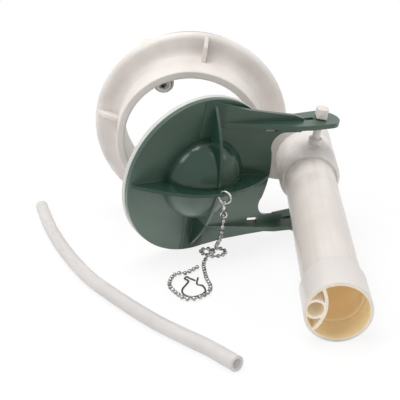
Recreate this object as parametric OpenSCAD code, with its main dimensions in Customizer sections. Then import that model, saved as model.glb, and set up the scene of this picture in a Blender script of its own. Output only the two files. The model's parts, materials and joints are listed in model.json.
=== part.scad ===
// Three-inch toilet flush valve: flanged seat, overflow tube with a refill collar,
// hinged flapper with a bead chain, tank screws with swing clamps, and a loose refill hose.
// The valve is drawn upright about its own axis, with the seat face at height zero and the
// overflow tube toward +X. It is then laid on its side, as it rests on a table.

/* [Flange and seat] */
// Outside diameter of the tank flange
flange_d = 116; // [110:1:122]
// Radius of the rounded flange rim
rim_r = 3.6; // [2.6:0.1:4.4]
// Height of the seat face above the middle of the flange rim
seat_rise = 26.2; // [24:0.2:30]
// Outside diameter of the seat wall at its top
seat_d = 87; // [85.6:0.2:90]
// Width of the flat seat face
seat_face = 3.4; // [2:0.1:3.6]
// Edge break at the outside of the seat face
seat_break = 0.6; // [0.4:0.1:0.8]
// Fillet between the seat wall and the flange
cove_r = 6; // [3:0.5:7]
// Throat diameter under the seat lip
throat_d = 77.8; // [74:0.2:78]
// How far the throat radius widens down to the outlet
throat_flare = 2.4; // [0.5:0.1:2.6]
// Wall of the outlet spigot
spigot_wall = 2.4; // [2:0.1:3]
// Length of the outlet spigot below the flange
spigot_len = 8.6; // [8:0.2:12]
// How far the spigot steps in below the gasket to enter the outlet hole
spigot_step = 0.8; // [0.6:0.1:1.2]
// Thickness of the gusset ribs between seat and flange
gusset_t = 2.4; // [1.4:0.1:3]
// Height of the gusset tops above the middle of the flange rim
gusset_rise = 12; // [10:0.5:14]

/* [Overflow tube] */
// Distance from the valve axis to the tube axis
tube_x = 68.8; // [67:0.2:73]
// Outside diameter of the tube
tube_d = 28.6; // [27:0.1:30]
// Wall of the tube
tube_wall = 1.6; // [1.2:0.1:2.2]
// Height of the tube's top end above the seat
tube_top = 147.5; // [120:0.5:170]
// Depth of the tube's lower end below the seat
tube_sink = 1; // [0:0.5:3]
// Height of the socket mouth above the seat
socket_top = 28; // [25:0.5:32]
// Wall of the socket round the tube
socket_wall = 2.9; // [2.2:0.1:3.6]
// Thickness of the socket at its mouth
lip_t = 1.3; // [1:0.1:1.8]
// Length over which the socket narrows to its mouth
lip_h = 4; // [2:0.2:6]
// Height of the water way from the tube to the throat
duct_h = 14; // [10:0.5:15]
// Width of the water way from the tube to the throat
duct_w = 22; // [16:1:25]

/* [Overflow collar] */
// Wall of the collar above the tube end
collar_wall = 1.6; // [1.2:0.1:2]
// Length of the collar that grips the tube
collar_grip = 7.7; // [6:0.1:12]
// Length of the collar above the tube end
collar_rise = 13.1; // [10:0.1:18]
// Radius of the curved partition
partition_r = 20; // [18:0.5:24]
// Distance from the tube axis to the crown of the partition
partition_x = 5.2; // [4.8:0.1:5.6]
// Wall of the partition
partition_t = 1.6; // [1.2:0.1:2]
// Bore of the refill socket
refill_bore = 7.6; // [7:0.1:7.8]
// Wall of the refill socket
refill_wall = 1.4; // [1:0.1:1.6]

/* [Hinge] */
// Height of the hinge axis above the seat
hinge_z = 14.5; // [13.5:0.1:16]
// Diameter of the hinge pins
pin_d = 4.4; // [3.6:0.1:5]
// Radial clearance of the pins in the flapper ears
pin_clear = 0.08; // [0.05:0.01:0.1]
// Diameter of the collar at the root of each pin
pin_collar_d = 7.6; // [6.4:0.1:8.4]
// Length of the collar at the root of each pin
pin_collar_h = 3.4; // [2:0.1:5]
// Distance from the middle plane to the inner face of an ear
ear_y = 30.5; // [29:0.1:32]
// Thickness of an ear
ear_t = 2.8; // [2.2:0.1:3.4]
// Radius of the round end of an ear
ear_r = 9; // [7:0.2:9.6]
// Play between an ear and the pin head
head_gap = 0.6; // [0.4:0.1:1]
// Size of the pin head along the valve axis
head_l = 8.4; // [7:0.1:9.4]
// Size of the pin head across the valve axis
head_w = 6.2; // [5.4:0.1:7]
// Height of the pin head
head_h = 5.2; // [4:0.1:6]
// Diameter that rounds off the corners of the pin head
head_round = 9.6; // [8.8:0.1:10.4]
// How far the pin head narrows toward its end
head_taper = 2; // [1:0.1:2.6]

/* [Flapper] */
// Opening angle at which the flapper rests
open_angle = 32.4; // [20:0.2:40]
// Diameter of the flapper plate
flapper_d = 92; // [88:0.2:94]
// Thickness of the flapper plate
plate_t = 3; // [2.4:0.1:3.6]
// Thickness of the seal ring
seal_t = 3; // [2:0.1:4]
// Gap between the seal and the seat when the flapper is shut
seal_gap = 0.4; // [0.3:0.1:0.8]
// Outside diameter of the seal ring
seal_d = 92.8; // [89:0.2:94]
// Inside diameter of the seal ring
seal_bore = 60; // [56:1:66]
// Diameter of the float dome
dome_d = 48; // [42:0.5:52]
// Height of the float dome above the plate
dome_h = 17; // [12:0.2:18]
// Wall of the float dome
dome_wall = 2; // [1.6:0.1:2.6]
// Thickness of the cross ribs
rib_t = 1.8; // [1.6:0.1:2]
// Height of the long rib above the plate
long_rib_h = 21.4; // [19:0.2:24]
// Height of the long rib above the plate at its hinge end
long_rib_end_h = 8.2; // [7.8:0.1:9]
// Height of the cross rib above the plate
cross_rib_h = 17.6; // [16:0.2:20]
// Rise of the sloped arm plate over the flat plate at the cross rib
arm_rise = 1.4; // [0.6:0.1:2]
// Slope of the arm plate
arm_slope = 9; // [6:0.2:11]
// Thickness of the arm plate
arm_t = 2.4; // [2:0.1:3]
// Width of the slot beside each arm
slot_w = 3.2; // [2.4:0.1:4]
// Distance from the hinge axis to the bottom of the tube cut-out
cut_reach = 28; // [26:0.2:29]
// Half width of the tube cut-out
cut_half = 26.5; // [24:0.5:28]
// Corner radius of the tube cut-out
cut_r = 8; // [4:0.5:12]
// How far the edge of the cut-out bows toward the tube in its middle
cut_bow = 2.8; // [1:0.1:3.6]
// Length of the guide ring that steers the flapper into the throat
guide_h = 6; // [4:0.2:8]
// Clearance between the guide ring and the throat
guide_clear = 3; // [2:0.2:5]

/* [Mounting screws] */
// Diameter of the circle through the screws
screw_circle = 62; // [60:0.5:63]
// Angle of the first screw from the tube
screw_angle = 131.5; // [122:0.5:138]
// Diameter of the screw shank
screw_d = 4.8; // [4:0.1:5]
// Diameter of the screw head
screw_head_d = 9; // [8.6:0.1:9.6]
// Height of the screw head
screw_head_h = 3.2; // [2.4:0.1:4]
// Length of the screw under its head
screw_len = 37; // [35:0.5:45]
// Diameter of the washer under the head
washer_d = 10.2; // [9.8:0.1:11]
// Thickness of the washer
washer_t = 1; // [0.6:0.1:1.4]
// Radius of the boss that carries a screw
boss_r = 6.2; // [5.6:0.1:6.6]
// Height of the screw boss above the outlet end
boss_h = 12.4; // [11:0.2:14]
// Radial clearance of the shank in its boss and clamp
screw_clear = 0.35; // [0.3:0.05:0.5]
// Radial clearance of the thread in its nut
thread_clear = 0.06; // [0.04:0.01:0.1]

/* [Clamps and gasket] */
// Reach of a clamp from its screw to its tip
clamp_reach = 23; // [18:0.5:25]
// Width of a clamp arm
clamp_w = 8; // [6:0.2:10]
// Thickness of a clamp arm
clamp_t = 6; // [4:0.2:7]
// Radius of the clamp hub
hub_r = 6; // [5.2:0.1:6.4]
// Height of the clamp hub
hub_h = 11; // [9:0.2:13]
// Gap between the outlet end and the clamp hub
hub_gap = 3; // [2:0.2:5]
// Height of the gripping tooth on a clamp
tooth_h = 1.2; // [0.8:0.1:2]
// Width of the nut across its flats
nut_af = 8; // [7:0.1:9]
// Thickness of the nut
nut_t = 4; // [3:0.1:5]
// Thickness of the tank gasket
gasket_t = 3.6; // [3:0.2:5]
// Width of the tank gasket
gasket_w = 12; // [9:0.5:13]
// Clearance between the gasket and the spigot
gasket_clear = 0.3; // [0.2:0.1:1]

/* [Chain and hose] */
// Wire diameter of the chain ring
wire_d = 1; // [0.8:0.1:1.1]
// Middle diameter of the chain ring
ring_d = 6.8; // [6.4:0.2:8]
// How far the ring is turned toward the tube from square to the long rib
ring_turn = 35; // [20:1:45]
// How far the ring droops from level
ring_droop = 26; // [20:1:27]
// How far the ring's wire sits behind the middle of its eye
ring_back = 0.3; // [0.2:0.05:0.4]
// Eye for the chain ring in the crest of the long rib
eye_d = 2.6; // [2.5:0.1:2.8]
// Radius of the round tab about the eye
eye_r = 2.6; // [2.4:0.1:3]
// How far the eye lies below the crest of the long rib
eye_drop = 2; // [1.8:0.1:2.4]
// Length of the chain coupling between the middles of its eyes
link_len = 6.4; // [5.4:0.2:8]
// Wire diameter of the chain coupling
link_wire = 0.9; // [0.7:0.1:1]
// Middle radius of the coupling's upper eye
small_eye_r = 1.3; // [1.2:0.1:1.5]
// Middle radius of the coupling's lower eye
large_eye_r = 1.6; // [1.5:0.1:1.9]
// Diameter of a bead of the chain
bead_d = 2.4; // [2:0.1:2.6]
// Wire diameter of the hook
hook_d = 1.2; // [1:0.1:1.6]
// Outside diameter of the refill hose
hose_d = 7.4; // [6:0.1:8]

/* [As it lies] */
// Lean toward the tube, about the valve axis
lean = 9.7; // [5:0.1:14]
// Dip of the tube's open end toward the table
dip = 9.2; // [5:0.1:14]
// Shift of the whole part to the right
lie_x = -13.4; // [-40:0.1:40]
// Shift of the whole part to the back
lie_y = 46.7; // [-20:0.1:120]

/* [Hidden] */
$fn = 96;
eps = 0.01;

flange_r = flange_d / 2;
seat_r = seat_d / 2;
throat_r = throat_d / 2;
lip_drop = seat_r - seat_break - seat_face - throat_r;
outlet_r = throat_r + throat_flare;
spigot_r = outlet_r + spigot_wall;
free_r = spigot_r - spigot_step;
flange_z = -seat_rise - rim_r;
outlet_z = flange_z - spigot_len;
rim_top = -seat_rise + rim_r;
tube_r = tube_d / 2;
tube_in = tube_r - tube_wall;
socket_r = tube_r + socket_wall;
duct_top = -3;
floor_z = rim_top - 2;
collar_r = tube_r + collar_wall;
collar_z = tube_top - collar_grip;
collar_top = tube_top + collar_rise;
refill_r = refill_bore / 2;
refill_x = partition_x + partition_t + refill_r;
screw_r = screw_circle / 2;
screw_z = outlet_z + boss_h;
hub_z = outlet_z - hub_gap;
tip_r = clamp_w / 2;
gasket_z = flange_z - gasket_t;
seal_z = seal_gap;
plate_z = seal_z + seal_t;
plate_top = plate_z + plate_t;
flapper_r = flapper_d / 2;
pin_r = pin_d / 2;
cut_x = tube_x - cut_reach;
cut_low = cut_x + 0.6 - cut_bow;
bow_r = pow(cut_half - cut_r, 2) / (2 * cut_bow) + cut_bow / 2;
arm_y = ear_y + ear_t + 3.4;
eye_z = plate_top + long_rib_h - eye_drop;
ring_r = ring_d / 2;
ring_mid = ring_r * cos(ring_droop) - ring_back;
lie_z = (flange_r - rim_r) * cos(dip) - seat_rise * sin(dip) + rim_r;

white = [0.93, 0.91, 0.88];
green = [0.24, 0.35, 0.30];
nickel = [0.78, 0.77, 0.74];

// Points of an arc about c, from angle a to angle b
function arc(c, r, a, b, n) =
  [for (i = [0:n]) c + r * [cos(a + (b - a) * i / n), sin(a + (b - a) * i / n)]];

// Height of a rib crown that falls from top to end over a reach, as a parabola
function crown(x, reach, top, end) = top - (top - end) * pow(x / reach, 2);

// Lays the upright valve on its side
module laid() {
  translate([lie_x, lie_y, lie_z])
    rotate([90 + dip, 0, 0])
      rotate([0, 0, -lean])
        children();
}

// Swings a shut flapper about the hinge axis to its resting angle
module opened() {
  translate([tube_x, 0, hinge_z])
    rotate([0, open_angle, 0])
      translate([-tube_x, 0, -hinge_z])
        children();
}

// Places a child at one of the three screws
module at_screw(i) {
  rotate([0, 0, screw_angle + 120 * (i - 1)])
    translate([screw_r, 0, 0])
      children();
}

// Section of the flange, seat wall and throat
module ring_section() {
  wall_r = seat_r + 0.7;
  polygon(concat(
    [[outlet_r, outlet_z], [free_r, outlet_z], [free_r, gasket_z]],
    [[spigot_r, gasket_z], [spigot_r, flange_z]],
    arc([flange_r - rim_r, -seat_rise], rim_r, -90, 90, 10),
    arc([wall_r + cove_r, rim_top + cove_r], cove_r, 270, 180, 8),
    [[seat_r, -seat_break], [seat_r - seat_break, 0]],
    [[seat_r - seat_break - seat_face, 0], [throat_r, -lip_drop]]
  ));
}

// Upright gusset in the corner between the seat wall and the flange rim
module gusset() {
  low = rim_top - 0.3;
  top = gusset_rise - seat_rise;
  in_r = seat_r - 2;
  out_r = flange_r - rim_r / 3;
  bend = (out_r - seat_r) / 3;
  rotate([90, 0, 0])
    linear_extrude(gusset_t, center = true)
      polygon([
        [in_r, top], [seat_r + 1, top], [seat_r + bend, top - 1], [out_r - bend, top - 3],
        [out_r, low], [out_r, -seat_rise], [in_r, -seat_rise]
      ]);
}

// Hinge pin that stands on the socket: root collar, shaft and flat-sided head
module hinge_pin() {
  head_y = ear_y + ear_t + head_gap;
  translate([tube_x, 0, hinge_z]) {
    rotate([-90, 0, 0]) {
      cylinder(d = pin_collar_d, h = socket_r + pin_collar_h);
      cylinder(d = pin_d, h = head_y + 1);
    }
    intersection() {
      translate([-head_w / 2, head_y, -head_l / 2])
        cube([head_w, head_h, head_l]);
      translate([0, head_y - eps, 0])
        rotate([-90, 0, 0])
          cylinder(d1 = head_round, d2 = head_round - head_taper, h = head_h + 2 * eps);
    }
  }
}

// Outline of the socket and of the water way that joins it to the ring
module socket_plan() {
  translate([tube_x, 0])
    circle(r = socket_r);
  translate([throat_r, -socket_r])
    square([tube_x - throat_r, 2 * socket_r]);
}

module valve_body() {
  color(white)
    difference() {
      union() {
        difference() {
          union() {
            rotate_extrude()
              ring_section();
            for (a = [90, 180, 270])
              rotate([0, 0, a])
                gusset();
            translate([0, 0, floor_z])
              linear_extrude(duct_top - floor_z)
                socket_plan();
            translate([tube_x, 0, floor_z])
              cylinder(r = socket_r, h = socket_top - lip_h - floor_z);
            translate([tube_x, 0, socket_top - lip_h - eps])
              cylinder(r1 = socket_r, r2 = tube_r + lip_t, h = lip_h + eps);
            hinge_pin();
            mirror([0, 1, 0])
              hinge_pin();
          }
          // Throat and water way
          translate([0, 0, outlet_z - eps])
            cylinder(r1 = outlet_r, r2 = throat_r, h = -lip_drop - outlet_z + eps);
          translate([0, -duct_w / 2, duct_top - 2 - duct_h])
            cube([tube_x, duct_w, duct_h]);
          translate([tube_x, 0, duct_top - 2 - duct_h])
            cylinder(r = tube_in, h = duct_h + 10);
          // Seat for the tube
          translate([tube_x, 0, -tube_sink])
            cylinder(r = tube_r, h = socket_top + tube_sink + eps);
        }
        // Screw bosses inside the throat
        for (i = [1:3])
          at_screw(i)
            translate([0, 0, outlet_z])
              intersection() {
                union() {
                  cylinder(r = boss_r, h = boss_h);
                  translate([0, -boss_r, 0])
                    cube([outlet_r - screw_r + 1, 2 * boss_r, boss_h]);
                }
                translate([-screw_r, 0, 0])
                  cylinder(r = free_r - 0.6, h = boss_h);
              }
      }
      for (i = [1:3])
        at_screw(i)
          translate([0, 0, outlet_z - eps])
            cylinder(d = screw_d + 2 * screw_clear, h = boss_h + 2 * eps);
    }
}

module overflow_tube() {
  color(white)
    translate([tube_x, 0, -tube_sink])
      difference() {
        cylinder(r = tube_r, h = tube_top + tube_sink);
        translate([0, 0, -eps])
          cylinder(r = tube_in, h = tube_top + tube_sink + 2 * eps);
      }
}

module overflow_collar() {
  color([0.92, 0.92, 0.91])
    translate([tube_x, 0, 0])
      difference() {
        union() {
          // Sleeve over the tube end
          translate([0, 0, collar_z])
            difference() {
              cylinder(r = collar_r, h = collar_top - collar_z);
              translate([0, 0, -eps])
                cylinder(r = tube_r, h = collar_top - collar_z + 2 * eps);
            }
          // Curved partition and refill socket, inside the sleeve
          translate([0, 0, tube_top])
            intersection() {
              cylinder(r = collar_r - collar_wall / 2, h = collar_rise);
              union() {
                translate([-partition_x - partition_r, 0, 0])
                  difference() {
                    cylinder(r = partition_r, h = collar_rise);
                    translate([0, 0, -eps])
                      cylinder(r = partition_r - partition_t, h = collar_rise + 2 * eps);
                  }
                translate([-refill_x, 0, 0])
                  cylinder(r = refill_r + refill_wall, h = collar_rise);
              }
            }
        }
        translate([-refill_x, 0, tube_top - eps])
          cylinder(r = refill_r, h = collar_rise + 2 * eps);
      }
}

module tank_gasket() {
  color([0.16, 0.16, 0.16])
    translate([0, 0, gasket_z])
      difference() {
        cylinder(r = spigot_r + gasket_clear + gasket_w, h = gasket_t);
        translate([0, 0, -eps])
          cylinder(r = spigot_r + gasket_clear, h = gasket_t + 2 * eps);
      }
}

// Plan of the sloped arm plate: it tapers from the disc to the ears and is open round the tube
module arm_plan() {
  difference() {
    polygon([
      [-6, flapper_r - 0.8], [0, flapper_r - 1], [cut_x - 21, arm_y + 3.6], [cut_x - 6, arm_y + 1.6],
      [cut_x + 9, arm_y], [cut_x + 15, arm_y - 2], [cut_x + 15, -arm_y + 2], [cut_x + 9, -arm_y],
      [cut_x - 6, -arm_y - 1.6], [cut_x - 21, -arm_y - 3.6], [0, 1 - flapper_r], [-6, 0.8 - flapper_r]
    ]);
    translate([cut_low + cut_r, -cut_half + cut_r])
      circle(r = cut_r);
    translate([cut_low + cut_r, cut_half - cut_r])
      circle(r = cut_r);
    difference() {
      translate([cut_low, -cut_half + cut_r])
        square([2 * cut_reach, 2 * (cut_half - cut_r)]);
      translate([cut_low + cut_bow - bow_r, 0])
        circle(r = bow_r);
    }
    translate([cut_low + cut_r, -cut_half])
      square([2 * cut_reach, 2 * cut_half]);
    for (s = [-1, 1])
      translate([cut_x - 7.6, s * (ear_y - slot_w / 2) - slot_w / 2])
        square([7, slot_w]);
  }
}

// Sloped plate that carries both arms from the disc up toward the hinge
module arm_plate() {
  translate([0, 0, plate_top + arm_rise])
    rotate([0, -arm_slope, 0])
      translate([0, 0, -arm_t])
        linear_extrude(arm_t)
          arm_plan();
}

// Side view of an arm: a rising web that ends in the round ear
module arm_side() {
  difference() {
    union() {
      translate([tube_x + 2.6, hinge_z])
        circle(r = ear_r);
      polygon([
        [-4, plate_top - 1], [cut_x, plate_top + 4.8], [tube_x - 14, plate_top + 5.4],
        [tube_x - 13, hinge_z - ear_r + 1], [tube_x + 2.6, hinge_z - ear_r],
        [tube_x + 2.6, hinge_z + ear_r], [tube_x - 10, hinge_z + ear_r],
        [cut_x + 6, hinge_z + ear_r - 1.2], [-2, plate_top]
      ]);
    }
    translate([tube_x, hinge_z])
      circle(r = pin_r + pin_clear);
    translate([tube_x - 12, hinge_z - 1.4])
      square([7, 2.8]);
  }
}

// Arm on the +Y side: web with its ear
module arm() {
  translate([0, ear_y + ear_t, 0])
    rotate([90, 0, 0])
      linear_extrude(ear_t)
        arm_side();
}

// Side view of the long rib, from the free edge to the tube cut-out
module long_rib_side() {
  reach = flapper_r - 1;
  base = plate_top - 0.5;
  top = plate_top + long_rib_h;
  polygon(concat(
    [[-reach, base]],
    [for (x = [-reach:reach / 10:0]) [x, crown(x, reach, top, plate_top)]],
    [for (x = [cut_x / 8:cut_x / 8:cut_x + eps]) [x, crown(x, cut_x, top, plate_top + long_rib_end_h)]],
    [[cut_x, base]]
  ));
}

// Side view of the cross rib, from edge to edge of the plate
module cross_rib_side() {
  reach = flapper_r - 1.5;
  base = plate_top - 0.5;
  polygon(concat(
    [[-reach, base]],
    [for (y = [-reach:reach / 10:reach + eps]) [y, crown(y, reach, plate_top + cross_rib_h, plate_top)]],
    [[reach, base]]
  ));
}

// Half section of the float dome; grow is minus the wall for the hollow inside
module dome_section(grow) {
  r = dome_d / 2 + grow;
  h = dome_h + grow;
  translate([0, plate_top])
    polygon(concat([[0, 0]], [for (a = [0:9:90]) [r * cos(a), h * sin(a)]]));
}

module flapper_plate() {
  color(green)
    opened()
      difference() {
        union() {
          translate([0, 0, plate_z])
            cylinder(r = flapper_r, h = plate_t);
          arm_plate();
          rotate_extrude()
            dome_section(0);
          rotate([90, 0, 0])
            linear_extrude(rib_t, center = true)
              long_rib_side();
          rotate([90, 0, 90])
            linear_extrude(rib_t, center = true)
              cross_rib_side();
          translate([0, 0, eye_z])
            rotate([90, 0, 0])
              cylinder(r = eye_r, h = rib_t, center = true);
          arm();
          mirror([0, 1, 0])
            arm();
        }
        // Hollow of the float dome, open below
        rotate_extrude()
          dome_section(-dome_wall);
        translate([0, 0, plate_z - eps])
          cylinder(r = dome_d / 2 - dome_wall, h = plate_t + 2 * eps);
        // Eye for the chain ring
        translate([0, 0, eye_z])
          rotate([90, 0, 0])
            cylinder(d = eye_d, h = 2 * rib_t, center = true);
      }
}

module flapper_seal() {
  color([0.90, 0.91, 0.89])
    opened()
      translate([0, 0, seal_z])
        rotate_extrude()
          polygon([
            [seal_bore / 2, 0], [seal_d / 2 - 0.6, 0], [seal_d / 2, 0.6], [seal_d / 2, seal_t / 2 - 0.3],
            [seal_d / 2 - 0.6, seal_t / 2], [seal_d / 2, seal_t / 2 + 0.3], [seal_d / 2, seal_t - 0.6],
            [seal_d / 2 - 0.6, seal_t], [seal_bore / 2, seal_t]
          ]);
}

// Ring under the seal: it clamps the seal to the plate and steers it into the throat
module seal_guide() {
  guide_r = throat_r - guide_clear;
  low_r = guide_r - guide_h / 2;
  in_r = dome_d / 2 - dome_wall;
  color(green)
    opened()
      rotate_extrude()
        polygon([
          [in_r, plate_z], [seal_bore / 2, plate_z], [seal_bore / 2, seal_z], [guide_r, seal_z],
          [low_r, seal_z - guide_h], [low_r - 3, seal_z - guide_h], [in_r, seal_z - 2]
        ]);
}

module mounting_screw(i) {
  head_z = screw_z + washer_t;
  color(nickel)
    at_screw(i)
      difference() {
        union() {
          translate([0, 0, head_z - screw_len])
            cylinder(d = screw_d, h = screw_len + eps);
          translate([0, 0, head_z])
            rotate_extrude()
              polygon(concat(
                [[0, 0]],
                [for (a = [0:15:90]) [screw_head_d / 2 - 1.6 * (1 - cos(a)), screw_head_h * sin(a)]],
                [[0, screw_head_h]]
              ));
        }
        // Cross recess
        for (a = [0, 90])
          translate([0, 0, head_z + screw_head_h])
            rotate([0, 0, a])
              cube([0.55 * screw_head_d, 1.2, 3], center = true);
      }
}

module screw_washer(i) {
  color(nickel)
    at_screw(i)
      translate([0, 0, screw_z])
        difference() {
          cylinder(d = washer_d, h = washer_t);
          translate([0, 0, -eps])
            cylinder(d = screw_d + 2 * screw_clear, h = washer_t + 2 * eps);
        }
}

// Swing clamp: hub on the screw, arm that reaches outward and a tooth at its tip
module clamp_dog(i) {
  color([0.91, 0.87, 0.74])
    at_screw(i)
      translate([0, 0, hub_z - hub_h])
        difference() {
          union() {
            cylinder(r = hub_r, h = hub_h);
            translate([0, 0, hub_h - clamp_t])
              linear_extrude(clamp_t) {
                translate([0, -tip_r])
                  square([clamp_reach - tip_r, clamp_w]);
                translate([clamp_reach - tip_r, 0])
                  circle(r = tip_r);
              }
            translate([clamp_reach - tip_r, 0, hub_h - eps])
              cylinder(r1 = tip_r - 0.6, r2 = tip_r - 1.6, h = tooth_h);
          }
          translate([0, 0, -eps])
            cylinder(d = screw_d + 2 * screw_clear, h = hub_h + 2 * eps);
        }
}

module clamp_nut(i) {
  color([0.80, 0.68, 0.38])
    at_screw(i)
      translate([0, 0, hub_z - hub_h - nut_t])
        difference() {
          cylinder(d = nut_af / cos(30), h = nut_t, $fn = 6);
          translate([0, 0, -eps])
            cylinder(d = screw_d + 2 * thread_clear, h = nut_t + 2 * eps);
        }
}

// Round wire bent to a closed ring about the Z axis
module wire_ring(r, d) {
  rotate_extrude($fn = 48)
    translate([r, 0])
      circle(d = d, $fn = 24);
}

// Wire ring through the eye of the long rib, drooping to the -Y side
module chain_ring() {
  color(nickel)
    opened()
      translate([ring_mid * sin(ring_turn), -ring_r * sin(ring_droop), eye_z + ring_mid * cos(ring_turn)])
        rotate([0, 90 + ring_turn, 0])
          wire_ring(ring_r, wire_d);
}

// Coupling that hangs from the ring: a small eye, a shank and a larger eye for the first bead
module chain_link() {
  low_r = ring_r * (1 + sin(ring_droop));
  drop = [ring_mid * sin(ring_turn), -low_r, eye_z + ring_mid * cos(ring_turn)];
  hang = (wire_d + link_wire) / 2 + 0.06 - small_eye_r;
  color(nickel)
    opened()
      translate(drop)
        rotate([-13, 0, 3])
          translate([0, hang, 0]) {
            rotate([0, ring_turn, 0])
              wire_ring(small_eye_r, link_wire);
            translate([0, -small_eye_r, 0])
              rotate([90, 0, 0])
                cylinder(d = 2 * link_wire, h = link_len - small_eye_r - large_eye_r, $fn = 24);
            translate([0, -link_len, 0])
              rotate([0, -37, 0])
                wire_ring(large_eye_r, link_wire);
          }
}

// Routes of the flexible pieces on the table, as the photographed ones lie
chain_route = [
  [4.8, -13.2, 26.3], [4.5, -13, 23.5], [4, -12.5, 20.4], [3.5, -11, 16.2], [2.6, -8.5, 11.9],
  [1.2, -2.5, 6.6], [1.4, 3, 3],
  [2.5, 6.5, 1.7], [5.5, 4.5, 1.4], [6, -0.5, 1.4], [3, -4.5, 1.4], [-1.5, -5, 1.4], [-5.5, -2, 1.4],
  [-7.5, 2.5, 1.4], [-5, 6.5, 1.4], [-1, 5, 1.4], [-0.5, 0, 1.6], [-2, -5, 4], [-5, -11, 1.8],
  [-6, -17, 1.4], [-5.5, -26, 1.4], [-4.5, -36, 1.4], [-2.5, -47, 1.4], [-4, -55, 1.4], [-9, -61, 1.4],
  [-15, -62, 1.4], [-20, -55, 1.4], [-23.5, -46, 1.4], [-23, -36, 1.4], [-20, -29.5, 1.4],
  [-16.5, -29.5, 1.4], [-13, -26, 1.4], [-9.5, -21, 1.4]
];
hook_route = [
  [-9, -34, 0.7], [-9.5, -42, 0.7], [-6.5, -44.5, 0.7], [-5.2, -51, 0.7], [-7.5, -56, 0.7],
  [-12, -58.5, 0.7], [-16, -55.5, 0.7], [-17, -49.5, 0.7], [-14.5, -41, 0.7], [-14, -38, 0.7],
  [-16, -35, 0.7], [-15, -34.2, 1.4], [-13.5, -37.4, 2], [-10.5, -40.5, 2]
];
hose_route = [
  [-107, 73.5, 3.8], [-98.5, 42.5, 3.8], [-88, 11, 3.8], [-77, -16.5, 3.8], [-65, -41.5, 3.8],
  [-53, -60.5, 3.8], [-39, -80.5, 3.8], [-26.5, -96.5, 3.8], [-14, -110, 3.8], [-3.5, -121, 3.8],
  [8, -135.5, 3.8]
];

// Point of a smooth curve through the points p, between p[i] and p[i + 1]
function smooth(p, i, t) =
  let (
    n = len(p) - 1,
    a = p[max(i - 1, 0)],
    b = p[i],
    c = p[min(i + 1, n)],
    d = p[min(i + 2, n)]
  )
  b + t / 2 * (c - a + t * (2 * a - 5 * b + 4 * c - d + t * (3 * b - a - 3 * c + d)));

// Swept tube of diameter d with the given sides and stations along a route
module swept(route, d, sides, stations) {
  n = len(route) - 1;
  line = [for (k = [0:stations])
    let (s = k * n / stations, i = min(floor(s), n - 1)) smooth(route, i, s - i)];
  function along(k) = let (v = line[min(k + 1, stations)] - line[max(k - 1, 0)]) v / norm(v);
  rings = [for (k = [0:stations])
    let (
      w = along(k),
      flat = cross([0, 0, 1], w),
      u = norm(flat) < 0.3 ? [1, 0, 0] - w[0] * w : flat,
      a = u / norm(u),
      b = cross(w, a)
    )
    for (j = [0:sides - 1]) line[k] + d / 2 * (cos(360 * j / sides) * a + sin(360 * j / sides) * b)];
  skin = [for (k = [0:stations - 1])
    for (j = [0:sides - 1])
      [k * sides + j, k * sides + (j + 1) % sides, (k + 1) * sides + (j + 1) % sides, (k + 1) * sides + j]];
  first = [for (j = [0:sides - 1]) j];
  last = [for (j = [0:sides - 1]) (stations + 1) * sides - 1 - j];
  polyhedron(rings, concat([first], [for (q = skin) [q[3], q[2], q[1], q[0]]], [last]), 4);
}

module bead_chain() {
  color(nickel)
    swept(chain_route, bead_d, 8, 60);
}

module chain_hook() {
  color([0.55, 0.55, 0.54])
    swept(hook_route, hook_d, 8, 40);
}

module refill_hose() {
  color([0.90, 0.90, 0.87])
    swept(hose_route, hose_d, 10, 20);
}

laid() valve_body();
laid() overflow_tube();
laid() overflow_collar();
laid() tank_gasket();
laid() flapper_plate();
laid() flapper_seal();
laid() seal_guide();
laid() mounting_screw(1);  // mounting_screw_1
laid() mounting_screw(2);  // mounting_screw_2
laid() mounting_screw(3);  // mounting_screw_3
laid() screw_washer(1);  // screw_washer_1
laid() screw_washer(2);  // screw_washer_2
laid() screw_washer(3);  // screw_washer_3
laid() clamp_dog(1);  // clamp_dog_1
laid() clamp_dog(2);  // clamp_dog_2
laid() clamp_dog(3);  // clamp_dog_3
laid() clamp_nut(1);  // clamp_nut_1
laid() clamp_nut(2);  // clamp_nut_2
laid() clamp_nut(3);  // clamp_nut_3
laid() chain_ring();
laid() chain_link();
bead_chain();
chain_hook();
refill_hose();
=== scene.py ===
"""Looks of a toilet flush valve that lies on a white table with its chain and a loose refill hose."""
import json
import math

import bpy
from bpy.props import FloatProperty, FloatVectorProperty, PointerProperty
from mathutils import Matrix, Vector


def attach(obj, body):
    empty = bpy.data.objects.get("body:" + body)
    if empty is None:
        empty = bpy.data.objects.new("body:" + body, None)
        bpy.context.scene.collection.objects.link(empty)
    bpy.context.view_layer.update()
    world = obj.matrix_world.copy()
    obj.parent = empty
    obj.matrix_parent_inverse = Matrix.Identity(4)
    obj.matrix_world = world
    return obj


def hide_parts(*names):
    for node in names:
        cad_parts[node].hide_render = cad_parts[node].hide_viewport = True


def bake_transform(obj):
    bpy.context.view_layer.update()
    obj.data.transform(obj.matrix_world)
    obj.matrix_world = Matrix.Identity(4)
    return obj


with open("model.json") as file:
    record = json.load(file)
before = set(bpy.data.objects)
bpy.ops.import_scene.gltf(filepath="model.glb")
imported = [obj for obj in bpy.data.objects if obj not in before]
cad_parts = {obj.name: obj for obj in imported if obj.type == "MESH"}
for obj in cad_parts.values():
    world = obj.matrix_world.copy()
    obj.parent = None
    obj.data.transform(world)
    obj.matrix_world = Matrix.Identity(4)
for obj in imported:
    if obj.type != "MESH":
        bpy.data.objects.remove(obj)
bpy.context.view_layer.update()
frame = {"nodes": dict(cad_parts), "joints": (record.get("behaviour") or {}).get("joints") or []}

bl_info = {
    "name": "Flush Valve",
    "version": (1, 0, 0),
    "blender": (4, 5, 0),
    "location": "View3D > Sidebar > Flush Valve",
    "description": "Dresses a toilet flush valve: finishes, bead chain, hook, hose and stage",
    "category": "Object",
}

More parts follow.
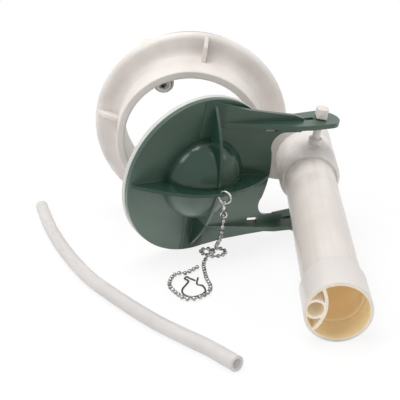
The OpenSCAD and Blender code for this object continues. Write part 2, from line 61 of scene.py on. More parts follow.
MM = 0.001
JOINTS = {joint["name"]: joint for joint in frame["joints"]}

# The valve's own axes as it lies: from seat to tube, along the hinge, and up the overflow tube
HINGE = Vector(JOINTS["flapper_hinge"]["pos_m"])
ACROSS = Vector(JOINTS["flapper_hinge"]["axis"]).normalized()
UP_TUBE = Vector(JOINTS["screw_turn_1"]["axis"]).normalized()
TO_TUBE = ACROSS.cross(UP_TUBE).normalized()
REST_OPENING = -math.radians(JOINTS["flapper_hinge"]["range_deg"][0])

# The flapper's own axes at rest: off its face, and from its middle toward the tube
OFF_FLAPPER = UP_TUBE * math.cos(REST_OPENING) + TO_TUBE * math.sin(REST_OPENING)
ALONG_FLAPPER = TO_TUBE * math.cos(REST_OPENING) - UP_TUBE * math.sin(REST_OPENING)

# The hinge's distance from the middle of the seat and its height over it, in millimetres
HINGE_REACH = 68.8
HINGE_RISE = 14.5


def on_flapper(along, across, off):
    """A place on the resting flapper, in millimetres from the middle of the valve seat when shut."""
    apart = ALONG_FLAPPER * (along - HINGE_REACH) + ACROSS * across + OFF_FLAPPER * (off - HINGE_RISE)
    return HINGE + apart * MM


# Middle of the float dome, which is half an ellipsoid on the plate, with its radius and height
FLAPPER_MIDDLE = on_flapper(0, 0, 6.4)
DOME_RADIUS = 24 * MM
DOME_HEIGHT = 17 * MM

# Heights up the tube from the hinge, above which the tube's end, the collar's rim and the screw heads lie
TUBE_END = 132.7 * MM
COLLAR_RIM = 145.9 * MM
SCREW_HEADS = -41 * MM

# Radii within which the tube's bore, its end face, the collar's partition and the collar's bore lie
TUBE_BORE = 13.4 * MM
TUBE_FACE = 14.25 * MM
COLLAR_PARTITION = 13.5 * MM
COLLAR_BORE = 14.6 * MM

# Where the coupling of the chain hangs in its ring
COUPLING_TOP = on_flapper(1.58, -4.89, 28.05)

# Camera, table and lamps. A lamp has a name, a place, what it points at, its width and its power
CAMERA_PLACE = (-7.93 * MM, -520.43 * MM, 206.97 * MM)
SENSOR_WIDTH = 36
TABLE_WIDTH = 8
LAMPS = (
    ("overhead", (-0.2, 0.02, 1.15), (0, 0, 0), 0.65, 6.7),
    ("front_left", (-0.75, -0.5, 1.1), (0, 0, 0.05), 0.6, 4.7),
    ("right", (0.95, -0.2, 0.6), (0, 0, 0.05), 0.6, 1.6),
)

# Strength of the light that comes from all round
ROOM_LIGHT = 0.52

# Share of plain white in the table round the object, and the distances between which it rises to all white
NEAR_WHITE = 0.84
SHADOW_FADE = (0.12, 0.32)

# Routes of the flexible pieces, in millimetres, as in the solids
CHAIN_ROUTE = [
    (4.8, -13.2, 28.4), (4.8, -13.2, 26.3), (4.5, -13, 23.5), (4, -12.5, 20.4), (3.5, -11, 16.2),
    (2.6, -8.5, 11.9), (1.2, -2.5, 6.6), (1.4, 3, 3),
    (2.5, 6.5, 1.7), (5.5, 4.5, 1.4), (6, -0.5, 1.4), (3, -4.5, 1.4), (-1.5, -5, 1.4), (-5.5, -2, 1.4),
    (-7.5, 2.5, 1.4), (-5, 6.5, 1.4), (-1, 5, 1.4), (-0.5, 0, 1.6), (-2, -5, 4), (-5, -11, 1.8),
    (-6, -17, 1.4), (-5.5, -26, 1.4), (-4.5, -36, 1.4), (-2.5, -47, 1.4), (-4, -55, 1.4), (-9, -61, 1.4),
    (-15, -62, 1.4), (-20, -55, 1.4), (-23.5, -46, 1.4), (-23, -36, 1.4), (-20, -29.5, 1.4),
    (-16.5, -29.5, 1.4), (-13, -26, 1.4), (-9.5, -21, 1.4),
]
HOOK_ROUTE = [
    (-9, -34, 0.7), (-9.5, -42, 0.7), (-6.5, -44.5, 0.7), (-5.2, -51, 0.7), (-7.5, -56, 0.7),
    (-12, -58.5, 0.7), (-16, -55.5, 0.7), (-17, -49.5, 0.7), (-14.5, -41, 0.7), (-14, -38, 0.7),
    (-16, -35, 0.7), (-15, -34.2, 1.4), (-13.5, -37.4, 2), (-10.5, -40.5, 2),
]
HOSE_ROUTE = [
    (-107, 73.5, 3.8), (-98.5, 42.5, 3.8), (-88, 11, 3.8), (-77, -16.5, 3.8), (-65, -41.5, 3.8),
    (-53, -60.5, 3.8), (-39, -80.5, 3.8), (-26.5, -96.5, 3.8), (-14, -110, 3.8), (-3.5, -121, 3.8),
    (8, -135.5, 3.8),
]


class FlushValveSizes(bpy.types.PropertyGroup):
    """Sizes of the pieces that are modelled here"""

    bead_diameter: FloatProperty(
        name="Bead diameter", description="Diameter of a chain bead", default=2.4 * MM, unit="LENGTH")
    bead_pitch: FloatProperty(
        name="Bead pitch", description="Distance between bead centres", default=3.4 * MM, unit="LENGTH")
    bead_wire: FloatProperty(
        name="Bead wire", description="Diameter of the wire between beads", default=0.8 * MM, unit="LENGTH")
    coupling_wire: FloatProperty(
        name="Coupling wire", description="Diameter of the coupling's wire", default=0.9 * MM, unit="LENGTH")
    hook_wire: FloatProperty(
        name="Hook wire", description="Diameter of the hook's wire", default=1.0 * MM, unit="LENGTH")
    hose_diameter: FloatProperty(
        name="Hose diameter", description="Outside diameter of the hose", default=7.4 * MM, unit="LENGTH")
    hose_wall: FloatProperty(
        name="Hose wall", description="Wall of the hose", default=1.35 * MM, unit="LENGTH")
    edge_round: FloatProperty(
        name="Edge round", description="Rounding of the moulded edges", default=0.55 * MM, unit="LENGTH")
    lens: FloatProperty(
        name="Lens", description="Focal length on a 36 mm sensor", default=90.13, unit="CAMERA")
    camera_tilt: FloatProperty(
        name="Camera tilt", description="Angle of the camera's view below level",
        default=math.radians(18.53), subtype="ANGLE")


def colour_property(name, description, red, green, blue):
    """A colour of the finish, as linear red, green and blue."""
    return FloatVectorProperty(
        name=name, description=description, subtype="COLOR", size=3, min=0, max=1, default=(red, green, blue))


class FlushValveColours(bpy.types.PropertyGroup):
    """Colours of the finishes"""

    body_white: colour_property("Body white", "Moulded body and tube", 0.79, 0.745, 0.71)
    body_shade: colour_property("Body shade", "Warmer patches of the moulding", 0.63, 0.58, 0.545)
    collar_white: colour_property("Collar white", "Paler white of the collar", 0.66, 0.625, 0.597)
    # Amber and cream also colour the painted glow inside the tube and the collar.
    amber: colour_property("Amber", "Inside wall of the tube and collar", 0.88, 0.70, 0.43)
    cream: colour_property("Cream", "Partition and refill socket in the collar", 0.88, 0.79, 0.65)
    flapper_green: colour_property("Flapper green", "Satin green of the flapper", 0.014, 0.050, 0.031)
    # This pale green is partly a real film and partly painted sheen: it stands for the white table's
    # reflection on the satin plate.
    flapper_film_and_sheen: colour_property("Flapper pale", "Milky film on the flapper", 0.092, 0.155, 0.118)
    seal_white: colour_property("Seal white", "Soft seal", 0.78, 0.79, 0.76)
    gasket_black: colour_property("Gasket black", "Tank gasket", 0.025, 0.025, 0.025)
    nickel: colour_property("Nickel", "Plating of the chain", 0.72, 0.70, 0.68)
    tarnish: colour_property("Tarnish", "Dark tone of the plating", 0.11, 0.10, 0.092)
    hook_grey: colour_property("Hook grey", "Bare wire of the hook", 0.20, 0.185, 0.17)
    zinc: colour_property("Zinc", "Plating of the screws", 0.74, 0.73, 0.71)
    nylon: colour_property("Nylon", "Clamp dogs", 0.86, 0.80, 0.60)
    brass: colour_property("Brass", "Clamp nuts", 0.62, 0.44, 0.16)
    vinyl: colour_property("Vinyl", "Translucent hose", 0.865, 0.832, 0.808)


def sizes():
    """The sizes as set in the scene."""
    return bpy.context.scene.flush_valve_sizes


def colours():
    """The colours as set in the scene."""
    return bpy.context.scene.flush_valve_colours


def darker(colour, share):
    """A colour brought down to a share of its light."""
    return [channel * share for channel in colour]


def scatter(weight, red, green, blue):
    """Shader sockets for light that scatters under a surface, with its reach in each colour."""
    return {"Subsurface_Weight": weight, "Subsurface_Radius": (red, green, blue), "Subsurface_Scale": 1.0}


class Value:
    """A number that varies over a surface or by ray. Arithmetic on it adds Math nodes to its tree."""

    def __init__(self, shading, socket):
        self.shading = shading
        self.socket = socket

    def _math(self, operation, first, second=0.0):
        node = self.shading.add("ShaderNodeMath", {"operation": operation}, {0: first, 1: second})
        return Value(self.shading, node.outputs[0])

    def __add__(self, other):
        return self._math("ADD", self, other)

    def __radd__(self, other):
        return self._math("ADD", other, self)

    def __sub__(self, other):
        return self._math("SUBTRACT", self, other)

    def __rsub__(self, other):
        return self._math("SUBTRACT", other, self)

    def __mul__(self, other):
        return self._math("MULTIPLY", self, other)

    def __rmul__(self, other):
        return self._math("MULTIPLY", other, self)

    def __lt__(self, other):
        return self._math("LESS_THAN", self, other)

    def __gt__(self, other):
        return self._math("GREATER_THAN", self, other)

    def least(self, other):
        """The smaller of two numbers."""
        return self._math("MINIMUM", self, other)

    def step(self, low, high):
        """0 below low, 1 above high, smooth between them."""
        node = self.shading.add(
            "ShaderNodeMapRange", {"interpolation_type": "SMOOTHSTEP"},
            {"Value": self, "From Min": low, "From Max": high})
        return Value(self.shading, node.outputs[0])


class Shading:
    """A node tree in the making, of a material or of the world."""

    def __init__(self, tree):
        self.tree = tree
        self.tree.nodes.clear()

    def add(self, kind, settings=None, sockets=None):
        """A node of a kind, with its settings made first and then its sockets set or linked."""
        node = self.tree.nodes.new(kind)
        for key, setting in (settings or {}).items():
            setattr(node, key, setting)
        self.wire(node, sockets or {})
        return node

    def wire(self, node, sockets):
        """Sets or links sockets of a node, by name or number."""
        for key, given in sockets.items():
            if isinstance(given, Value):
                given = given.socket
            if isinstance(given, bpy.types.NodeSocket):
                self.tree.links.new(given, node.inputs[key])
            else:
                node.inputs[key].default_value = given

    def seen(self):
        """1 or more for what the camera sees directly, in reflections or through a clear piece."""
        ray = self.add("ShaderNodeLightPath").outputs
        direct, mirrored, through = (
            Value(self, ray[kind]) for kind in ("Is Camera Ray", "Is Glossy Ray", "Is Transmission Ray"))
        return direct + mirrored + through


class Finish(Shading):
    """A material in the making, with its Principled shader."""

    def __init__(self, name):
        self.material = bpy.data.materials.new(name)
        self.material.use_nodes = True
        super().__init__(self.material.node_tree)
        self.shader = self.add("ShaderNodeBsdfPrincipled")
        self.output = self.add("ShaderNodeOutputMaterial", sockets={"Surface": self.shader.outputs[0]})
        self.place = self.add("ShaderNodeTexCoord").outputs["Object"]

    def noise(self, scale, detail=3.0, vector=None):
        """Soft random tone between 0 and 1, in waves per metre."""
        node = self.add(
            "ShaderNodeTexNoise", sockets={"Vector": vector or self.place, "Scale": scale, "Detail": detail})
        return Value(self, node.outputs[0])

    def vector(self, operation, first, second):
        """Vector maths on two vectors."""
        return self.add("ShaderNodeVectorMath", {"operation": operation}, {0: first, 1: second})

    def reach(self, direction, origin):
        """Distance of the surface from a point, along a direction."""
        apart = self.vector("SUBTRACT", self.place, origin).outputs[0]
        return Value(self, self.vector("DOT_PRODUCT", apart, direction).outputs["Value"])

    def off_axis(self, origin, direction):
        """Distance of the surface from an axis."""
        apart = self.vector("SUBTRACT", self.place, origin).outputs[0]
        beside = self.vector("CROSS_PRODUCT", apart, direction).outputs[0]
        return Value(self, self.vector("LENGTH", beside, (0, 0, 0)).outputs["Value"])

    def along_tube(self, across, along):
        """Valve coordinates stretched for streaks: waves per metre across the tube and along it."""
        parts = {
            "X": self.reach(TO_TUBE, HINGE) * across,
            "Y": self.reach(ACROSS, HINGE) * across,
            "Z": self.reach(UP_TUBE, HINGE) * along,
        }
        return self.add("ShaderNodeCombineXYZ", sockets=parts).outputs[0]

    def mix(self, factor, first, second):
        """A colour between two colours, each three numbers or a link."""
        first, second = (
            tone if isinstance(tone, bpy.types.NodeSocket) else (*tone, 1.0) for tone in (first, second))
        node = self.add("ShaderNodeMix", {"data_type": "RGBA"}, {0: factor, 6: first, 7: second})
        return node.outputs[2]

    def grey_patched(self, tone, share):
        """A tone with darker grey noise patches on a share of it."""
        grey_patches = self.noise(85, 4).step(0.42, 0.68) * share
        return self.mix(grey_patches, tone, darker(colours().body_shade, 0.75))

    def rounded(self, edge):
        """The normal over edges that are rounded by a radius."""
        return self.add("ShaderNodeBevel", {"samples": 6}, {"Radius": edge}).outputs[0]

    def domed(self, normal):
        """A normal that follows the float dome's smooth ellipsoid where the surface lies on it."""
        rise = self.reach(OFF_FLAPPER, FLAPPER_MIDDLE)
        wide = self.off_axis(FLAPPER_MIDDLE, OFF_FLAPPER) * (1 / DOME_RADIUS)
        high = rise * (1 / DOME_HEIGHT)
        shell = wide * wide + high * high
        on_shell = (shell > 0.97) * (shell < 1.02) * (rise > 0.05 * MM)
        apart = self.vector("SUBTRACT", self.place, FLAPPER_MIDDLE).outputs[0]
        lift = self.add(
            "ShaderNodeVectorMath", {"operation": "SCALE"},
            {0: OFF_FLAPPER, "Scale": rise * ((DOME_RADIUS / DOME_HEIGHT) ** 2 - 1)}).outputs[0]
        outward = self.vector("ADD", apart, lift).outputs[0]
        spaces = {"vector_type": "NORMAL", "convert_from": "OBJECT", "convert_to": "WORLD"}
        turned = self.add("ShaderNodeVectorTransform", spaces, {0: outward}).outputs[0]
        node = self.add("ShaderNodeMix", {"data_type": "VECTOR"}, {0: on_shell, 4: normal, 5: turned})
        return node.outputs[1]

    def relief(self, height, depth, strength=1.0, normal=None):
        """Bump of a height, over a normal where one is given."""
        sockets = {"Height": height, "Distance": depth, "Strength": strength}
        if normal:
            sockets["Normal"] = normal
        return self.add("ShaderNodeBump", sockets=sockets).outputs[0]

    def grained(self, scale, detail, depth, strength, edge):
        """The normal of a finely grained surface with rounded edges."""
        return self.relief(self.noise(scale, detail), depth, strength, self.rounded(edge))

    def shade(self, **sockets):
        """Sets or links sockets of the Principled shader, named with underscores."""
        self.wire(self.shader, {key.replace("_", " "): given for key, given in sockets.items()})
        return self.material


def dress(material, *names):
    """Gives CAD nodes a material."""
    for name in names:
        mesh = frame["nodes"][name].data
        mesh.materials.clear()
        mesh.materials.append(material)


def moulded_white():
    """Semi-gloss off-white moulding with faint warm patches, and darker grey patches round the socket."""
    finish = Finish("moulded_white")
    patches = finish.noise(28, 4)
    on_socket = 1 - finish.off_axis(HINGE, UP_TUBE).step(20 * MM, 30 * MM)
    tone = finish.mix(patches.step(0.35, 0.75), colours().body_white, colours().body_shade)
    return finish.shade(
        Base_Color=finish.grey_patched(tone, on_socket * 0.36), Roughness=0.34 + patches * 0.16,
        Normal=finish.grained(900, 2, depth=0.03 * MM, strength=0.5, edge=sizes().edge_round),
        **scatter(0.12, 4 * MM, 3 * MM, 2 * MM))


def drawn_tube():
    """Glossy tube: faint streaks and grey patches outside, amber inside, with a painted glow for light
    through its wall.
    """
    finish = Finish("drawn_tube")
    streaks = finish.noise(1.0, 3, finish.along_tube(260, 6))
    patches = finish.noise(24, 3)
    height = finish.reach(UP_TUBE, HINGE)
    radius = finish.off_axis(HINGE, UP_TUBE)
    marks = (streaks * 0.35 + patches * 0.65).step(0.26, 0.6)
    near_socket = 1 - height.step(18 * MM, 65 * MM)
    outside = finish.mix(marks, colours().body_white, colours().body_shade)
    outside = finish.grey_patched(outside, near_socket * 0.45)
    end_face = (height > TUBE_END) * (radius < TUBE_FACE)
    inside = ((radius < TUBE_BORE) + end_face).step(0.0, 1.0)
    # Painted glow: the amber bore and end face also emit amber light, standing in for light that comes
    # through the wall.
    return finish.shade(
        Base_Color=finish.mix(inside, outside, colours().amber),
        Emission_Color=finish.mix(inside, (0, 0, 0), colours().amber), Emission_Strength=0.11,
        Roughness=0.26 + streaks * 0.14, Coat_Weight=0.15,
        Normal=finish.relief(streaks, 0.05 * MM, 0.4, finish.rounded(sizes().edge_round)),
        **scatter(0.3, 6 * MM, 6 * MM, 6 * MM))


def collar_moulding():
    """Pale collar with an amber inside wall, a cream partition and a cream rim, and a painted glow in its
    bore.
    """
    finish = Finish("collar_moulding")
    patches = finish.noise(60, 3)
    radius = finish.off_axis(HINGE, UP_TUBE)
    wall = (radius > COLLAR_PARTITION) * (radius < COLLAR_BORE)
    partition = radius < COLLAR_PARTITION
    rim = finish.reach(UP_TUBE, HINGE) > COLLAR_RIM
    tone = finish.mix(wall, colours().collar_white, colours().amber)
    tone = finish.mix((partition + rim * 0.6).step(0.0, 1.0), tone, colours().cream)
    # Painted glow: the bore's amber and cream tones also emit light, standing in for light that comes through
    # the wall.
    return finish.shade(
        Base_Color=tone,
        Emission_Color=finish.mix(radius < COLLAR_BORE, (0, 0, 0), tone), Emission_Strength=0.08,
        Roughness=0.24 + patches * 0.14, Coat_Weight=0.1,
        Normal=finish.grained(700, 2, depth=0.02 * MM, strength=0.4, edge=sizes().edge_round),
        **scatter(0.3, 6 * MM, 6 * MM, 6 * MM))


def green_moulding():
    """Satin green that mirrors the table softly, under a pale film with painted sheen for the table's
    reflection, thin on the ribs, the lower arm and the upper dome.
    """
    finish = Finish("green_moulding")
    film = finish.noise(45, 5)
    grain = finish.noise(1300, 3)
    beside = finish.reach(ALONG_FLAPPER, FLAPPER_MIDDLE)
    height = finish.reach(ACROSS, FLAPPER_MIDDLE)
    rise = finish.reach(OFF_FLAPPER, FLAPPER_MIDDLE)
    # More of the pale colour low down, where the table's reflection falls: painted sheen.
    lower = 1 - height.step(-30 * MM, 16 * MM)
    in_dome = 1 - finish.off_axis(FLAPPER_MIDDLE, OFF_FLAPPER).step(22.5 * MM, 24.5 * MM)
    upper_dome = in_dome * height.step(-3 * MM, -1 * MM)
    on_cross = 1 - (beside * beside).least(height * height).step((3 * MM) ** 2, (8 * MM) ** 2)
    rib = rise.step(0.1 * MM, 0.8 * MM) * on_cross * (1 - in_dome)
    lower_arm = beside.step(36 * MM, 52 * MM) * lower
    # Less of the pale colour on the rib faces and the lower arm, which stay darker as painted shade; noise
    # varies the film.
    film_and_sheen_kept = (1 - rib * 0.75) * (1 - lower_arm * 0.7)
    film_and_sheen = (0.3 + lower * 0.8) * (film * 0.8 + 0.5) * (1 - upper_dome * 0.9) * film_and_sheen_kept
    smooth = finish.domed(finish.rounded(sizes().edge_round))
    return finish.shade(
        Base_Color=finish.mix(film_and_sheen.step(0.0, 1.0), colours().flapper_green, colours().flapper_film_and_sheen),
        Roughness=0.3 + film * 0.1 - upper_dome * 0.2, IOR=1.5,
        Coat_Weight=(0.3 + lower * 0.7) * (1 - upper_dome * 0.95) * film_and_sheen_kept, Coat_Roughness=0.28,
        Normal=finish.relief(grain * (1 - in_dome), 0.05 * MM, 0.6, smooth))


def soft_rubber(name, colour, rough):
    """Soft matt rubber with a fine skin."""
    finish = Finish(name)
    patches = finish.noise(40, 3)
    return finish.shade(
        Base_Color=finish.mix(patches.step(0.3, 0.8), colour, darker(colour, 0.86)),
        Roughness=rough + patches * 0.1,
        Normal=finish.grained(600, 3, depth=0.06 * MM, strength=0.6, edge=0.3 * MM))


def plated(name, bright, dark, rough, spread):
    """Plated metal with tarnish in soft spots and fine scratches."""
    finish = Finish(name)
    spots = finish.noise(spread, 4)
    return finish.shade(
        Base_Color=finish.mix(spots.step(0.42, 0.72), bright, dark),
        Metallic=1.0, Roughness=rough + spots * 0.16,
        Normal=finish.grained(2600, 2, depth=0.01 * MM, strength=0.4, edge=0.15 * MM))


def screw_zinc():
    """Bright zinc plating, with painted shade: near-black in the recess of each screw head."""
    finish = Finish("screw_zinc")
    spots = finish.noise(260, 4)
    axes = [Vector(JOINTS[f"screw_turn_{i}"]["pos_m"]) for i in (1, 2, 3)]
    first, second, third = (finish.off_axis(axis, UP_TUBE) for axis in axes)
    on_head = finish.reach(UP_TUBE, HINGE) > SCREW_HEADS
    # Painted shade: the recess of each head is mixed towards the gasket's black.
    recess = on_head * (1 - first.least(second).least(third).step(1.3 * MM, 2.1 * MM))
    tone = finish.mix(spots.step(0.42, 0.72), colours().zinc, darker(colours().zinc, 0.7))
    return finish.shade(
        Base_Color=finish.mix(recess * 0.85, tone, colours().gasket_black),
        Metallic=0.75, Roughness=0.3 + spots * 0.16,
        Normal=finish.grained(2600, 2, depth=0.01 * MM, strength=0.4, edge=0.25 * MM))


def nylon_moulding():
    """Natural nylon, matt and slightly see-through."""
    finish = Finish("nylon_moulding")
    patches = finish.noise(120, 3)
    return finish.shade(
        Base_Color=finish.mix(patches, colours().nylon, darker(colours().nylon, 0.88)),
        Roughness=0.42 + patches * 0.14,
        Normal=finish.grained(900, 2, depth=0.03 * MM, strength=0.5, edge=0.4 * MM),
        **scatter(0.25, 4 * MM, 3 * MM, 1 * MM))


def clear_vinyl():
    """Translucent white vinyl of the hose."""
    finish = Finish("clear_vinyl")
    haze = finish.noise(70, 4)
    return finish.shade(
        Base_Color=finish.mix(haze.step(0.3, 0.75), colours().vinyl, darker(colours().vinyl, 0.93)),
        Roughness=0.3 + haze * 0.15, Transmission_Weight=0.35, IOR=1.38,
        Normal=finish.relief(finish.noise(500, 2), 0.04 * MM, 0.4),
        **scatter(0.2, 4 * MM, 4 * MM, 4 * MM))


def smooth_line(route, spacing):
    """Points at an even spacing on the smooth curve through a route, and its length, in metres."""
    points = [Vector(p) * MM for p in route]
    last = len(points) - 1
    parts = 24
    fine = []
    for i in range(last):
        a, b = points[max(i - 1, 0)], points[i]
        c, d = points[i + 1], points[min(i + 2, last)]
        for k in range(parts):
            t = k / parts
            bend = 2 * a - 5 * b + 4 * c - d + t * (3 * b - a - 3 * c + d)
            fine.append(b + t / 2 * (c - a + t * bend))
    fine.append(points[-1])
    reach = [0.0]
    for p, q in zip(fine, fine[1:]):
        reach.append(reach[-1] + (q - p).length)
    count = max(2, round(reach[-1] / spacing))
    line, i = [], 0
    for k in range(count + 1):
        want = reach[-1] * k / count
        while i < len(reach) - 2 and reach[i + 1] < want:
            i += 1
        share = (want - reach[i]) / (reach[i + 1] - reach[i])
        line.append(fine[i].lerp(fine[i + 1], share))
    return line, reach[-1]


def select_only(*pieces):
    """Leaves object mode's selection at these pieces, the first one active."""
    bpy.ops.object.select_all(action="DESELECT")
    for piece in pieces:
        piece.select_set(True)
    bpy.context.view_layer.objects.active = pieces[0]


def select_faces(piece, wanted):
    """In edit mode, selects only the faces whose normal is wanted."""
    bpy.ops.mesh.select_all(action="DESELECT")
    bpy.ops.object.mode_set(mode="OBJECT")
    for face in piece.data.polygons:
        face.select = wanted(face.normal)
    bpy.ops.object.mode_set(mode="EDIT")


def tube_along(name, line, diameter, around, capped):
    """Mesh tube of a diameter that follows a line."""
    curve = bpy.data.curves.new(name, "CURVE")
    curve.dimensions = "3D"
    curve.bevel_depth = diameter / 2
    curve.bevel_resolution = around
    curve.use_fill_caps = capped
    spline = curve.splines.new("POLY")
    spline.points.add(len(line) - 1)
    for point, place in zip(spline.points, line):
        point.co = (*place, 1.0)
    piece = bpy.data.objects.new(name, curve)
    bpy.context.scene.collection.objects.link(piece)
    select_only(piece)
    bpy.ops.object.convert(target="MESH")
    piece = bpy.context.view_layer.objects.active
    bpy.ops.object.shade_smooth_by_angle(angle=math.radians(40))
    return piece


class FLUSHVALVE_OT_stage(bpy.types.Operator):
    """White table, soft studio light and the camera"""

    bl_idname = "flush_valve.stage"
    bl_label = "Stage"

    def execute(self, context):
        scene = context.scene
        scene.view_settings.view_transform = "Standard"
        bpy.ops.object.camera_add(
            location=CAMERA_PLACE, rotation=(math.pi / 2 - sizes().camera_tilt, 0, 0))
        camera = context.object
        camera.data.sensor_width = SENSOR_WIDTH
        camera.data.lens = sizes().lens
        camera.data.clip_start = 0.01
        scene.camera = camera

        bpy.ops.mesh.primitive_plane_add(size=TABLE_WIDTH, location=(0, 0, 0))
        floor = context.object
        floor.name = "table"
        floor.data.materials.append(self.white_table())

        for name, place, aim, size, power in LAMPS:
            turn = (Vector(aim) - Vector(place)).to_track_quat("-Z", "Y").to_euler()
            bpy.ops.object.light_add(type="AREA", location=place, rotation=turn)
            lamp = context.object
            lamp.name = name
            lamp.data.size = size
            lamp.data.energy = power
        self.white_world(scene)
        return {"FINISHED"}

    @staticmethod
    def white_table():
        """White to the camera and in reflections, with the object's soft shadow kept round it."""
        finish = Finish("white_table")
        finish.shade(Base_Color=(0.9, 0.9, 0.9, 1), Roughness=0.6)
        away = finish.off_axis((0, 0, 0), (0, 0, 1)).step(*SHADOW_FADE)
        white = finish.seen() * (NEAR_WHITE + away * (1 - NEAR_WHITE))
        glow = finish.add("ShaderNodeEmission", sockets={"Strength": 1.0})
        both = finish.add(
            "ShaderNodeMixShader", sockets={0: white, 1: finish.shader.outputs[0], 2: glow.outputs[0]})
        finish.wire(finish.output, {"Surface": both.outputs[0]})
        return finish.material

    @staticmethod
    def white_world(scene):
        """Even soft light, white to the camera and in reflections."""
        scene.world = bpy.data.worlds.new("white_world")
        scene.world.use_nodes = True
        sky = Shading(scene.world.node_tree)
        strength = ROOM_LIGHT + sky.seen().step(0.0, 1.0) * (1 - ROOM_LIGHT)
        back = sky.add("ShaderNodeBackground", sockets={"Color": (1, 1, 1, 1), "Strength": strength})
        sky.add("ShaderNodeOutputWorld", sockets={"Surface": back.outputs[0]})


class FLUSHVALVE_OT_refill_hose(bpy.types.Operator):
    """Translucent hose with its hole, loose on the table"""

    bl_idname = "flush_valve.refill_hose"
    bl_label = "Refill Hose"

    def execute(self, context):
        line, length = smooth_line(HOSE_ROUTE, spacing=2.5 * MM)
        hose = tube_along("refill_hose_tube", line, sizes().hose_diameter, around=10, capped=False)
        wall = hose.modifiers.new("Wall", "SOLIDIFY")
        wall.thickness = sizes().hose_wall
        wall.offset = -1
        bpy.ops.object.modifier_apply(modifier=wall.name)
        edge = hose.modifiers.new("Cut edge", "BEVEL")
        edge.width = 0.2 * MM
        edge.segments = 2
        edge.limit_method = "ANGLE"
        edge.angle_limit = math.radians(50)
        bpy.ops.object.modifier_apply(modifier=edge.name)
        hose.data.materials.append(clear_vinyl())
        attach(hose, "base")
        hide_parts("refill_hose")
        return {"FINISHED"}


class FLUSHVALVE_OT_chain_hook(bpy.types.Operator):
    """Bent wire hook that lies in the chain's loop"""

    bl_idname = "flush_valve.chain_hook"
    bl_label = "Chain Hook"

    def execute(self, context):
        line, _ = smooth_line(HOOK_ROUTE, spacing=0.8 * MM)
        hook = tube_along("chain_hook_wire", line, sizes().hook_wire, around=4, capped=True)
        grey = plated("hook_wire", colours().hook_grey, colours().tarnish, rough=0.3, spread=300)
        hook.data.materials.append(grey)
        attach(hook, "base")
        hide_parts("chain_hook")
        return {"FINISHED"}


class FLUSHVALVE_OT_chain_coupling(bpy.types.Operator):
    """Twisted wire coupling between the flapper's ring and the first bead"""

    bl_idname = "flush_valve.chain_coupling"
    bl_label = "Chain Coupling"

    def execute(self, context):
        swing, lean, drop = math.radians(3), math.radians(-13), 0.29
        hang = Matrix.Rotation(swing, 3, "Z") @ Matrix.Rotation(lean, 3, "X")
        line = []
        for along, across, off in self.wire_run():
            place = hang @ Vector((along, across - drop, off))
            apart = ALONG_FLAPPER * place.x + ACROSS * place.y + OFF_FLAPPER * place.z
            line.append(COUPLING_TOP + apart * MM)
        coupling = tube_along("coupling_wire", line, sizes().coupling_wire, around=3, capped=True)
        nickel = plated("coupling_nickel", colours().nickel, colours().tarnish, rough=0.18, spread=500)
        coupling.data.materials.append(nickel)
        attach(coupling, "flapper")
        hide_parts("chain_link")
        return {"FINISHED"}

    @staticmethod
    def wire_run():
        """Line round the lower eye, up the twist, round the upper eye and down again, in millimetres."""
        length, upper, lower, twist = 6.4, 1.3, 1.6, 0.45
        upper_lean, lower_lean = -0.61, 0.65
        parts = 16

        def eye(radius, middle, lean, degrees):
            """A place round an eye, whose loop leans out of the flapper's plane."""
            angle = math.radians(degrees)
            wide = radius * math.cos(angle)
            return wide * math.cos(lean), radius * math.sin(angle) + middle, wide * math.sin(lean)

        def strand(rise, degrees):
            """A place on a strand, at a share of the way from the lower eye to the upper one."""
            angle = math.radians(degrees)
            height = (rise - 1) * (length - lower) - rise * upper
            return twist * math.sin(angle), height, twist * math.cos(angle)

        run = [eye(lower, -length, lower_lean, 90 + 15 * i) for i in range(25)]
        run += [strand(i / parts, 24 * i) for i in range(1, parts)]
        run += [eye(upper, 0, upper_lean, -90 + 15 * i) for i in range(1, 24)]
        run += [strand(1 - i / parts, 180 - 24 * i) for i in range(1, parts)]
        return run


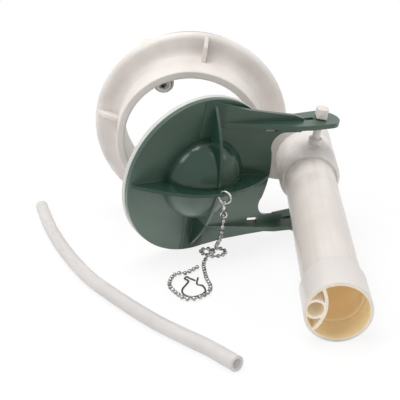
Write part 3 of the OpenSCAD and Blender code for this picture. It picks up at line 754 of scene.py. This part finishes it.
class FLUSHVALVE_OT_bead_chain(bpy.types.Operator):
    """Beads on short wires, from the flapper's coupling to a loose coil on the table"""

    bl_idname = "flush_valve.bead_chain"
    bl_label = "Bead Chain"

    def execute(self, context):
        line, length = smooth_line(CHAIN_ROUTE, sizes().bead_pitch)
        bead = self.bead()
        wire = self.wire_between()
        made = []
        for place, before, after in zip(line, [line[0]] + line, line[1:] + [line[-1]]):
            turn = (after - before).to_track_quat("Z", "Y").to_matrix().to_4x4()
            made.append(self.copy_at(bead, Matrix.Translation(place) @ turn))
        for first, second in zip(line, line[1:]):
            turn = (second - first).to_track_quat("Z", "Y").to_matrix().to_4x4()
            made.append(self.copy_at(wire, Matrix.Translation((first + second) / 2) @ turn))
        for pattern in (bead, wire):
            bpy.data.objects.remove(pattern)
        select_only(*made)
        bpy.ops.object.join()
        chain = context.view_layer.objects.active
        chain.name = "bead_chain_links"
        bpy.ops.object.shade_smooth()
        worn = darker(colours().nickel, 0.65)
        chain.data.materials.append(plated("chain_nickel", worn, colours().tarnish, rough=0.1, spread=620))
        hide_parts("bead_chain")
        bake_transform(chain)
        return {"FINISHED"}

    @staticmethod
    def copy_at(pattern, place):
        """A copy of a pattern with its own mesh, moved to a place."""
        copy = bpy.data.objects.new(pattern.name, pattern.data.copy())
        copy.data.transform(place)
        bpy.context.scene.collection.objects.link(copy)
        return copy

    @staticmethod
    def bead():
        """One hollow bead: a ball whose ends are pressed in where the wire enters."""
        radius, pressed = sizes().bead_diameter / 2, 0.93
        bpy.ops.mesh.primitive_uv_sphere_add(segments=10, ring_count=8, radius=radius)
        bead = bpy.context.object
        bpy.ops.object.mode_set(mode="EDIT")
        select_faces(bead, lambda normal: abs(normal.z) > 0.85)
        bpy.ops.transform.resize(value=(1, 1, pressed))
        bpy.ops.object.mode_set(mode="OBJECT")
        return bead

    @staticmethod
    def wire_between():
        """One short wire, waisted between two beads."""
        clear, flare = 0.8, 1.25
        reach = sizes().bead_pitch - sizes().bead_diameter * clear
        bpy.ops.mesh.primitive_cylinder_add(vertices=6, radius=sizes().bead_wire / 2, depth=reach)
        wire = bpy.context.object
        bpy.ops.object.mode_set(mode="EDIT")
        select_faces(wire, lambda normal: abs(normal.z) > 0.9)
        bpy.ops.transform.resize(value=(flare, flare, 1))
        bpy.ops.object.mode_set(mode="OBJECT")
        return wire


class FLUSHVALVE_OT_body(bpy.types.Operator):
    """Finishes of the flanged body, the overflow tube and its collar"""

    bl_idname = "flush_valve.body"
    bl_label = "Body and Overflow"

    def execute(self, context):
        dress(moulded_white(), "valve_body")
        dress(drawn_tube(), "overflow_tube")
        dress(collar_moulding(), "overflow_collar")
        dress(soft_rubber("gasket_rubber", colours().gasket_black, rough=0.7), "tank_gasket")
        return {"FINISHED"}


class FLUSHVALVE_OT_flapper(bpy.types.Operator):
    """Finishes of the flapper, its guide ring and its seal"""

    bl_idname = "flush_valve.flapper"
    bl_label = "Flapper"

    def execute(self, context):
        dress(green_moulding(), "flapper_plate", "seal_guide")
        dress(soft_rubber("seal_rubber", colours().seal_white, rough=0.5), "flapper_seal")
        return {"FINISHED"}


class FLUSHVALVE_OT_fittings(bpy.types.Operator):
    """Finishes of the screws, washers, clamps, nuts and ring"""

    bl_idname = "flush_valve.fittings"
    bl_label = "Screws and Fittings"

    def execute(self, context):
        zinc = screw_zinc()
        nylon = nylon_moulding()
        brass = plated("plain_brass", colours().brass, darker(colours().brass, 0.6), rough=0.3, spread=260)
        for i in (1, 2, 3):
            dress(zinc, f"mounting_screw_{i}", f"screw_washer_{i}")
            dress(nylon, f"clamp_dog_{i}")
            dress(brass, f"clamp_nut_{i}")
        ring = plated("ring_nickel", colours().nickel, colours().tarnish, rough=0.2, spread=500)
        dress(ring, "chain_ring")
        return {"FINISHED"}


class FLUSHVALVE_PT_panel(bpy.types.Panel):
    """Lists the pieces of the flush valve"""

    bl_idname = "FLUSHVALVE_PT_panel"
    bl_label = "Flush Valve"
    bl_space_type = "VIEW_3D"
    bl_region_type = "UI"
    bl_category = "Flush Valve"

    def draw(self, context):
        for operator in OPERATORS:
            self.layout.operator(operator.bl_idname)
        for group in (context.scene.flush_valve_sizes, context.scene.flush_valve_colours):
            for name in group.__annotations__:
                self.layout.prop(group, name)


OPERATORS = (
    FLUSHVALVE_OT_stage,
    FLUSHVALVE_OT_refill_hose,
    FLUSHVALVE_OT_chain_hook,
    FLUSHVALVE_OT_chain_coupling,
    FLUSHVALVE_OT_bead_chain,
    FLUSHVALVE_OT_body,
    FLUSHVALVE_OT_flapper,
    FLUSHVALVE_OT_fittings,
)
CLASSES = (FlushValveSizes, FlushValveColours, *OPERATORS, FLUSHVALVE_PT_panel)


def register():
    """Adds the classes and their properties to Blender."""
    for cls in CLASSES:
        bpy.utils.register_class(cls)
    bpy.types.Scene.flush_valve_sizes = PointerProperty(type=FlushValveSizes)
    bpy.types.Scene.flush_valve_colours = PointerProperty(type=FlushValveColours)


def unregister():
    """Takes them out again."""
    del bpy.types.Scene.flush_valve_colours
    del bpy.types.Scene.flush_valve_sizes
    for cls in reversed(CLASSES):
        bpy.utils.unregister_class(cls)


def main():
    """Makes every piece in order."""
    register()
    bpy.ops.object.select_all(action="DESELECT")
    bpy.ops.flush_valve.stage()
    bpy.ops.flush_valve.refill_hose()
    bpy.ops.flush_valve.chain_hook()
    bpy.ops.flush_valve.chain_coupling()
    bpy.ops.flush_valve.bead_chain()
    bpy.ops.flush_valve.body()
    bpy.ops.flush_valve.flapper()
    bpy.ops.flush_valve.fittings()


if __name__ == "__main__":
    main()
